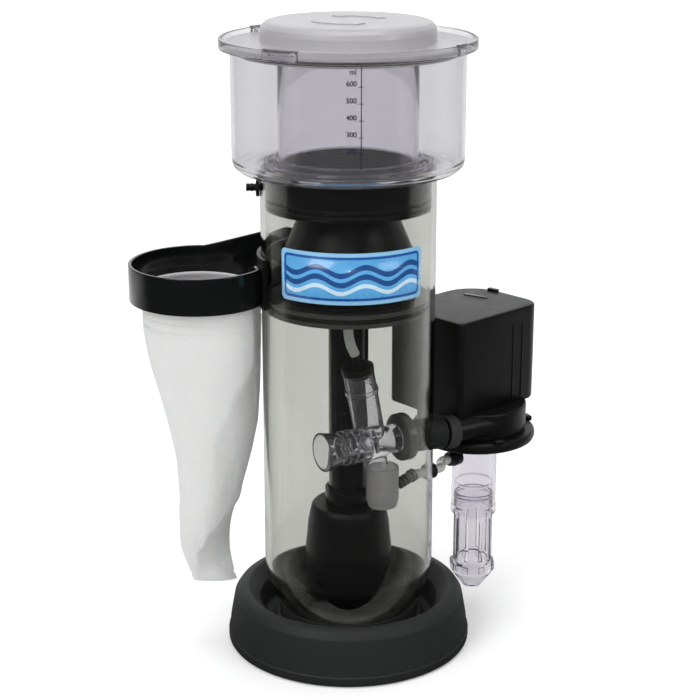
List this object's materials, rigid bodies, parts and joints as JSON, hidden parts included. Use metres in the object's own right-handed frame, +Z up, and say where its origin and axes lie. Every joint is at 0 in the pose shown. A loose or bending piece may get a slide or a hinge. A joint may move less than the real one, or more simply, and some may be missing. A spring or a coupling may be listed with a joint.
{
  "type": "protein skimmer",
  "caption": "Aquarium protein skimmer: clear round vessel on a black base ring, foam cup with lid on top, side pump with injector, and a felt filter bag in a holder.",
  "frame": {"origin": "on the vessel's axis at floor level", "axes": "+Z up along the vessel's axis, +X towards the pump's side, +Y away from the front"},
  "size_m": [0.2643, 0.1801, 0.4069],
  "materials": {
    "clear_acrylic": "polished clear",
    "clear_lavender": "polished clear with a lavender tint",
    "clear_white": "moulded translucent",
    "frosted": "frosted translucent",
    "smoke_grey": "smoky gloss",
    "gloss_black": "gloss",
    "satin_black": "satin moulded",
    "rubber_black": "matt",
    "base_black": "matt, finely textured",
    "rubber_grey": "matt",
    "milky_hose": "milky translucent silicone",
    "felt_white": "needled felt",
    "label_blue": "printed film",
    "steel": "stainless",
    "lamination": "laminated iron",
    "copper": "enamelled copper winding",
    "magnet_grey": "ferrite",
    "ceramic": "ceramic"
  },
  "bodies": {
    "vessel": {"weighted_base": "base_black", "vessel_seat_ring": "rubber_grey", "reactor_vessel": "clear_acrylic", "front_label": "label_blue", "divider_plate": "smoke_grey", "divider_seal": "rubber_black", "standpipe": "gloss_black", "standpipe_collar": "gloss_black", "flow_pot": "satin_black", "foam_bell": "satin_black", "air_nipple": "satin_black", "air_chamber": "clear_lavender", "air_chamber_cap": "satin_black", "intake_tube": "clear_lavender", "air_hose": "milky_hose", "injector_body": "clear_lavender", "injector_bell": "clear_lavender", "injector_socket": "smoke_grey", "port_pipe": "gloss_black", "port_gasket": "rubber_black", "coupling_sleeve": "rubber_grey", "regulator_cup": "frosted", "hose_connector": "smoke_grey", "hose_grommet": "rubber_black", "suction_hose": "milky_hose", "suction_elbow": "gloss_black", "motor_housing": "satin_black", "rotor_can": "satin_black", "stator_core": "lamination", "stator_coil_1": "copper", "stator_coil_2": "copper", "rotor_shaft": "ceramic", "bush_upper": "rubber_grey", "bush_lower": "rubber_grey", "pump_volute": "satin_black", "volute_cover": "satin_black", "suction_pipe": "clear_lavender", "cable_gland": "rubber_black", "power_cable": "rubber_black", "holder_saddle": "satin_black", "bag_holder": "gloss_black", "holder_screw_1": "steel", "holder_screw_2": "steel"},
    "cup": {"neck_collar": "gloss_black", "neck_oring_upper": "rubber_black", "neck_oring_lower": "rubber_black", "collar_pin": "steel", "cup_outer": "clear_lavender", "cup_riser": "clear_lavender"},
    "lid_turn": {"lid_seal": "rubber_black"},
    "lid": {"lid": "frosted"},
    "rotor": {"rotor_magnet": "magnet_grey", "impeller": "clear_white"},
    "strainer": {"strainer": "clear_lavender"},
    "bag": {"filter_bag": "felt_white", "bag_ring": "frosted"}
  },
  "joints": [
    {"name": "cup_lift", "type": "slide", "parent": "vessel", "child": "cup", "axis": [0, 0, 1], "range_m": [0, 0.04]},
    {"name": "lid_twist", "type": "hinge", "parent": "cup", "child": "lid_turn", "pos_m": [0, 0, 0.39], "axis": [0, 0, 1], "range_deg": [0, 30]},
    {"name": "lid_lift", "type": "slide", "parent": "lid_turn", "child": "lid", "axis": [0, 0, 1], "range_m": [0, 0.03]},
    {"name": "rotor_spin", "type": "hinge", "parent": "vessel", "child": "rotor", "pos_m": [0.0857, 0.0495, 0.15], "axis": [0, 0, 1], "continuous": true},
    {"name": "strainer_twist", "type": "hinge", "parent": "vessel", "child": "strainer", "pos_m": [0.0857, 0.0495, 0.07], "axis": [0, 0, 1], "range_deg": [0, 45]},
    {"name": "bag_lift", "type": "slide", "parent": "vessel", "child": "bag", "axis": [0, 0, 1], "range_m": [0, 0.06]}
  ]
}
